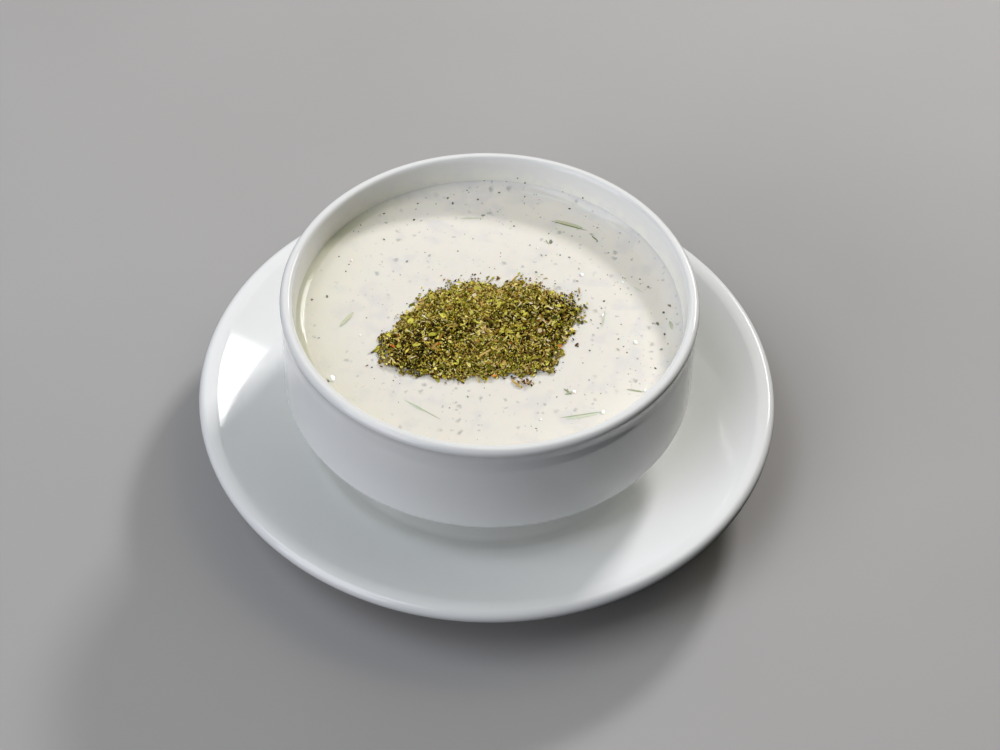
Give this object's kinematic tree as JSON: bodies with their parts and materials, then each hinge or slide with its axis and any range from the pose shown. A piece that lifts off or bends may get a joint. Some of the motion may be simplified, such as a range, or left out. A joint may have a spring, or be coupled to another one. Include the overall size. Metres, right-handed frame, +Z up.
{
  "type": "tzatziki dip",
  "caption": "Yogurt and cucumber dip in a round stacking bowl on a dished saucer, with a low heap of dried mint on top; stands on a table.",
  "frame": {"origin": "centre of the saucer's foot, on the table", "axes": "+Z up along the axis of the bowl and the saucer, -Y towards the viewer, +X to the viewer's right"},
  "size_m": [0.16, 0.16, 0.0544],
  "materials": {
    "saucer_porcelain": "glossy white glaze",
    "bowl_porcelain": "glossy white glaze",
    "yogurt_dip": "wet, creamy, off-white with green specks",
    "dried_mint": "dry crumbled leaf, olive green"
  },
  "bodies": {
    "root": {"saucer": "saucer_porcelain", "bowl": "bowl_porcelain", "dip": "yogurt_dip", "mint_heap": "dried_mint"}
  },
  "joints": []
}
